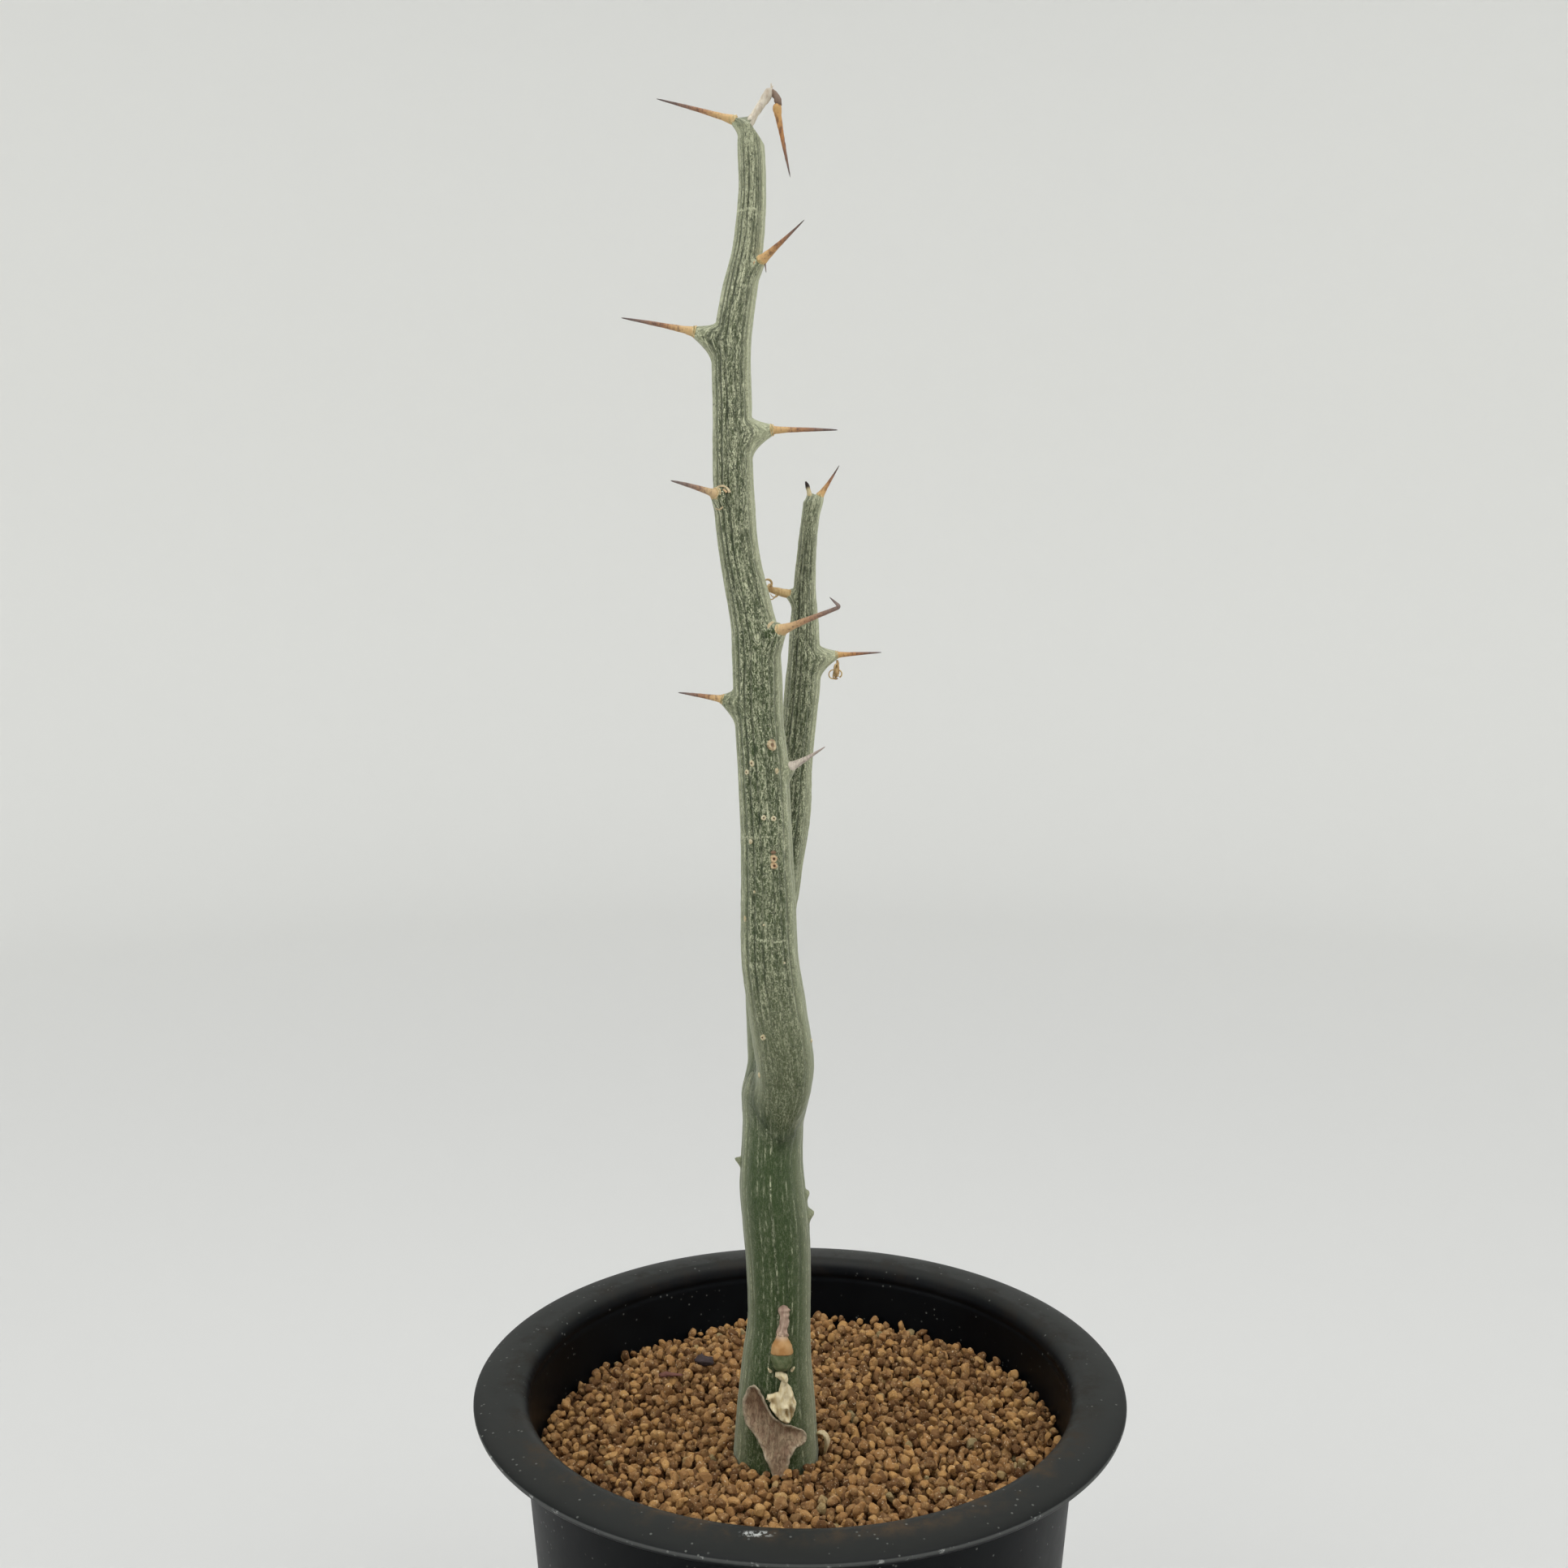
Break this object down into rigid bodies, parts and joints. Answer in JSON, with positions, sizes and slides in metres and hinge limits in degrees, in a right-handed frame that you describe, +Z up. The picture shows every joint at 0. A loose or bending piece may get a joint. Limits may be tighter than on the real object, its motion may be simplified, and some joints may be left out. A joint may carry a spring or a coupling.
{
  "type": "potted thorny caudex plant",
  "caption": "Upright green thorny caudex plant with a tall and a short shoot, in a flared black nursery pot filled with tan fired-clay grains.",
  "frame": {"origin": "centre of the pot's foot, on the surface it stands on", "axes": "+Z up along the pot's axis; +X to the viewer's right and +Y away from the viewer, who faces the basal bud"},
  "size_m": [0.12, 0.12, 0.3319],
  "materials": {
    "black_plastic": "dusty satin moulded polypropylene, darker and bluer on the body than on the olive-grey rim",
    "clay_grains": "dry matt fired-clay grains, tan to brown",
    "trunk_skin": "waxy deep green skin with broken pale lengthwise streaks",
    "shoot_skin": "grey-green ribbed skin with whitish crust between dark grooves",
    "thorn": "satin horn, tan to orange at the base, grey-brown towards a dark tip",
    "dried_skin": "matt dried plant skin, tan to brown",
    "husk": "matt grey-brown papery husk with fine veins",
    "pale_scale": "matt cream papery scale",
    "bark": "matt dark bark"
  },
  "bodies": {
    "root": {"pot": "black_plastic", "soil": "clay_grains", "bark_chip": "bark", "trunk": "trunk_skin", "tall_shoot": "shoot_skin", "short_shoot": "shoot_skin", "thorn_crown": "thorn", "thorn_upper_right": "thorn", "thorn_upper_left": "thorn", "thorn_middle_right": "thorn", "thorn_middle_left": "thorn", "thorn_hooked": "thorn", "thorn_lower_left": "thorn", "thorn_lower_right": "thorn", "thorn_short_crown": "thorn", "thorn_short_right": "thorn", "dried_stalk_left": "dried_skin", "withered_tip": "dried_skin", "tip_stub": "dried_skin", "dangling_thorn": "thorn", "dried_curl": "dried_skin", "basal_bud": "trunk_skin", "basal_bud_tip": "dried_skin", "brown_husk": "husk", "cream_flake": "pale_scale", "pale_curl": "pale_scale"}
  },
  "joints": []
}
